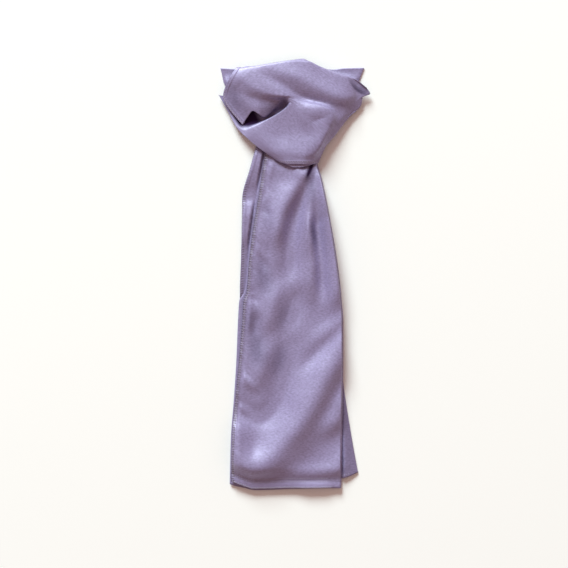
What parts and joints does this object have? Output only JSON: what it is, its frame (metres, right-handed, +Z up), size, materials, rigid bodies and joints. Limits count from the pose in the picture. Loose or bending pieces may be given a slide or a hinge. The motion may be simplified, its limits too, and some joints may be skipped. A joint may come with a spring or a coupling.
{
  "type": "satin scarf",
  "caption": "Satin scarf folded lengthwise, knotted and laid flat, with a wide wrapping band over the knot, a flat neck loop and two overlapping tails.",
  "frame": {"origin": "centre of the laid scarf's box, on the surface that it lies on", "axes": "+Z up from the surface, +Y along the tails towards the knot, +X to the right as seen from above with the knot at the top"},
  "size_m": [0.2114, 0.6018, 0.0247],
  "materials": {
    "satin_tail": "polyester satin, lilac, soft sheen",
    "satin_band": "polyester satin, lilac, soft sheen",
    "satin_back": "polyester satin, lilac, shaded",
    "satin_inside": "polyester satin, lilac, inside the knot"
  },
  "bodies": {
    "root": {"front_tail": "satin_tail", "back_tail": "satin_back", "knot_band": "satin_band", "knot_band_under_hem": "satin_band", "neck_loop": "satin_back", "knot_core": "satin_inside"}
  },
  "joints": []
}
